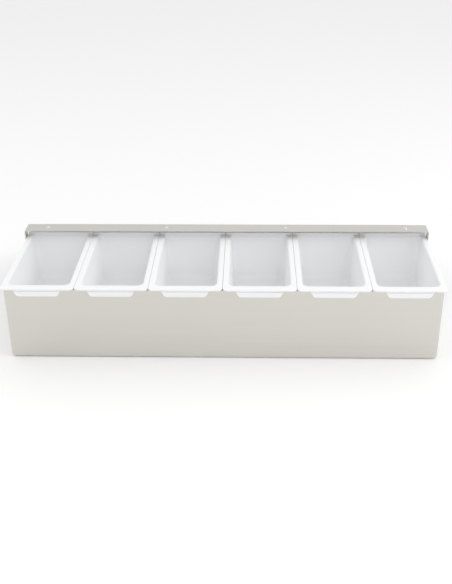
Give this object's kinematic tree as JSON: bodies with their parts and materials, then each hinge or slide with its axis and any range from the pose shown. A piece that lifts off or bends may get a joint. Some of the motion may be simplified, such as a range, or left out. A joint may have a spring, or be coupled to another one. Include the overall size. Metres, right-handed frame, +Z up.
{
  "type": "garnish tray",
  "caption": "Long stainless steel bar garnish tray holding a row of white lift-out tubs with front pull tabs, under a riveted rear hinge rail and a fold-back steel lid.",
  "frame": {"origin": "centre of the case's flat underside, on the table", "axes": "+X along the row of tubs to the right as seen from the front, +Y to the back with the hinge, +Z up"},
  "size_m": [0.4834, 0.2778, 0.0987],
  "materials": {
    "brushed_stainless": "brushed",
    "bright_stainless": "polished",
    "white_polypropylene": "moulded satin"
  },
  "bodies": {
    "case": {"case_shell": "brushed_stainless", "hinge_rail": "brushed_stainless", "rail_hinge_leaf": "brushed_stainless", "rail_rivets": "bright_stainless", "hinge_pin": "bright_stainless"},
    "lid": {"lid_panel": "brushed_stainless", "lid_hinge_leaf": "brushed_stainless", "lid_rivets": "bright_stainless"},
    "tub_1_body": {"tub_1": "white_polypropylene"},
    "tub_2_body": {"tub_2": "white_polypropylene"},
    "tub_3_body": {"tub_3": "white_polypropylene"},
    "tub_4_body": {"tub_4": "white_polypropylene"},
    "tub_5_body": {"tub_5": "white_polypropylene"},
    "tub_6_body": {"tub_6": "white_polypropylene"}
  },
  "joints": [
    {"name": "lid_hinge", "type": "hinge", "parent": "case", "child": "lid", "pos_m": [0, 0.0767, 0.09395], "axis": [-1, 0, 0], "range_deg": [-216.8, 0]},
    {"name": "tub_1_tilt", "type": "hinge", "parent": "case", "child": "tub_1_body", "pos_m": [-0.1995, 0.07165, 0.0857], "axis": [-1, 0, 0], "range_deg": [0, 14]},
    {"name": "tub_2_tilt", "type": "hinge", "parent": "case", "child": "tub_2_body", "pos_m": [-0.1197, 0.07165, 0.0857], "axis": [-1, 0, 0], "range_deg": [0, 14]},
    {"name": "tub_3_tilt", "type": "hinge", "parent": "case", "child": "tub_3_body", "pos_m": [-0.0399, 0.07165, 0.0857], "axis": [-1, 0, 0], "range_deg": [0, 14]},
    {"name": "tub_4_tilt", "type": "hinge", "parent": "case", "child": "tub_4_body", "pos_m": [0.0399, 0.07165, 0.0857], "axis": [-1, 0, 0], "range_deg": [0, 14]},
    {"name": "tub_5_tilt", "type": "hinge", "parent": "case", "child": "tub_5_body", "pos_m": [0.1197, 0.07165, 0.0857], "axis": [-1, 0, 0], "range_deg": [0, 14]},
    {"name": "tub_6_tilt", "type": "hinge", "parent": "case", "child": "tub_6_body", "pos_m": [0.1995, 0.07165, 0.0857], "axis": [-1, 0, 0], "range_deg": [0, 14]}
  ]
}
